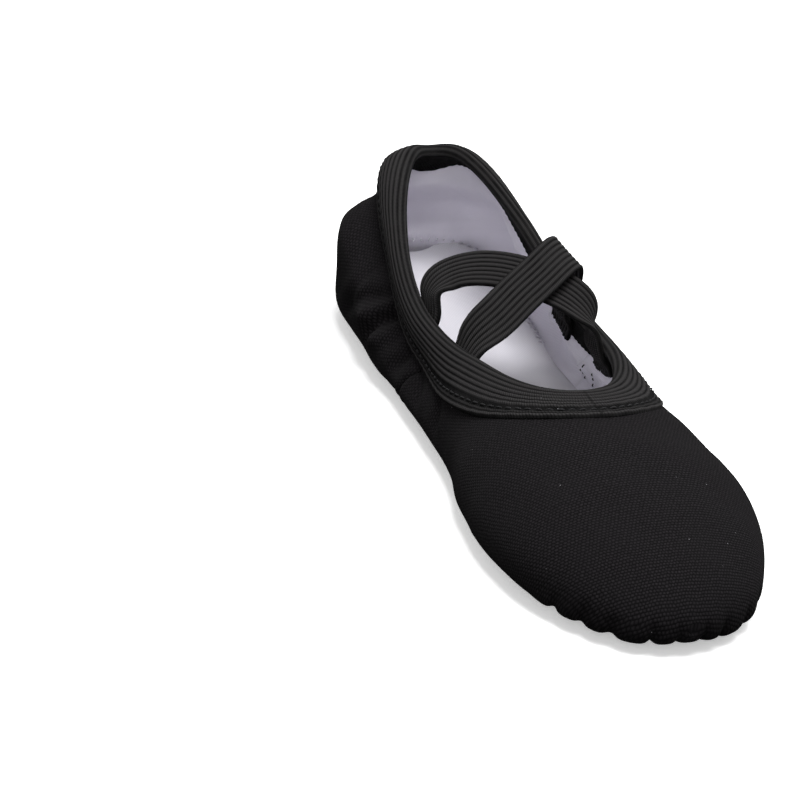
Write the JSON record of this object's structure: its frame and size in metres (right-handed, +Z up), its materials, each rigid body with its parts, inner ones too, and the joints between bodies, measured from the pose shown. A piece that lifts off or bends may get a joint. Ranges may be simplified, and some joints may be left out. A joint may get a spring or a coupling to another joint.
{
  "type": "split-sole ballet slipper",
  "caption": "Soft canvas ballet slipper with a bound oval opening, crossed elastic straps and suede patches under the ball and the heel.",
  "frame": {"origin": "under the middle of the slipper's length and width, on the floor plane", "axes": "+X to the toe, +Y to the wearer's left, +Z up"},
  "size_m": [0.2214, 0.0778, 0.0551],
  "materials": {
    "black_canvas": "matt plain-weave cotton canvas",
    "white_lining": "soft satin twill",
    "ribbed_elastic": "ribbed woven elastic",
    "strap_elastic": "ribbed woven elastic, slight sheen",
    "black_suede": "fine split suede",
    "foam": "soft foam",
    "insole_cloth": "brushed cotton",
    "black_thread": "twisted sewing thread",
    "white_thread": "twisted sewing thread"
  },
  "bodies": {
    "forefoot": {"vamp_canvas": "black_canvas", "vamp_lining": "white_lining", "forefoot_sole_patch": "black_suede", "forefoot_patch_outer_stitching": "black_thread", "forefoot_patch_inner_stitching": "black_thread", "forefoot_pad": "foam", "insole_sock": "insole_cloth", "arch_seam_stitching": "black_thread", "right_side_seam_stitching": "white_thread", "left_side_seam_stitching": "white_thread", "over_strap_tacks": "black_thread", "under_strap_tacks": "black_thread"},
    "heel": {"quarter_canvas": "black_canvas", "quarter_lining": "white_lining", "topline_binding": "ribbed_elastic", "binding_edge_stitching": "black_thread", "heel_sole_patch": "black_suede", "heel_patch_outer_stitching": "black_thread", "heel_patch_inner_stitching": "black_thread", "heel_pad": "foam", "insole_edge_stitching": "white_thread"},
    "strap_over": {"instep_strap_over": "strap_elastic"},
    "strap_under": {"instep_strap_under": "strap_elastic"}
  },
  "joints": [
    {"name": "arch_flex", "type": "hinge", "parent": "forefoot", "child": "heel", "pos_m": [-0.037, 0, 0], "axis": [0, 1, 0], "range_deg": [-25, 35], "stiffness_Nm_per_rad": 0.03, "deforming": ["quarter_canvas", "quarter_lining", "topline_binding", "binding_edge_stitching", "insole_sock", "arch_seam_stitching"]},
    {"name": "over_strap_swing", "type": "hinge", "parent": "forefoot", "child": "strap_over", "pos_m": [-0.02169, -0.0003, 0.02775], "axis": [-0.5402, 0.8413, 0.0226], "range_deg": [-30, 20], "stiffness_Nm_per_rad": 0.005, "deforming": ["instep_strap_over"]},
    {"name": "under_strap_swing", "type": "hinge", "parent": "forefoot", "child": "strap_under", "pos_m": [-0.02169, 0.0003, 0.02775], "axis": [0.5402, 0.8413, -0.0226], "range_deg": [-30, 10], "stiffness_Nm_per_rad": 0.005, "deforming": ["instep_strap_under"]}
  ]
}
